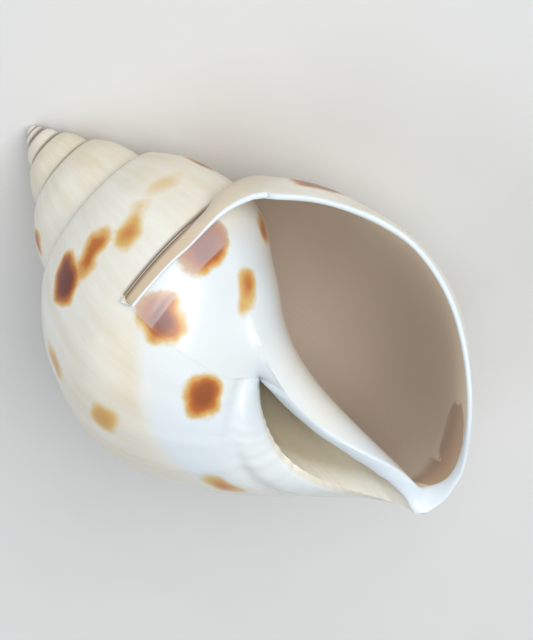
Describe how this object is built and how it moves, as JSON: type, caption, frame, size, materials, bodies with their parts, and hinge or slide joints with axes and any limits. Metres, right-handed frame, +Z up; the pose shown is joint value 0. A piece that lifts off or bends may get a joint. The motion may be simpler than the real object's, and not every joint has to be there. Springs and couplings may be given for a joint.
{
  "type": "spotted babylon sea shell",
  "caption": "Hollow spiral sea snail shell with a pointed spire, stepped seams, a wide mouth and a notched front end, lying mouth up.",
  "frame": {"origin": "middle of the underside's bounding box, on the surface that the shell lies on", "axes": "+Z up; the mouth opens up and towards -Y, the apex points to +X and down, and the long axis of the shell runs along X"},
  "size_m": [0.052, 0.0364, 0.0327],
  "materials": {
    "shell": "smooth porcelain white shell with rows of red-brown blotches, satin gloss"
  },
  "bodies": {
    "root": {"shell": "shell"}
  },
  "joints": []
}
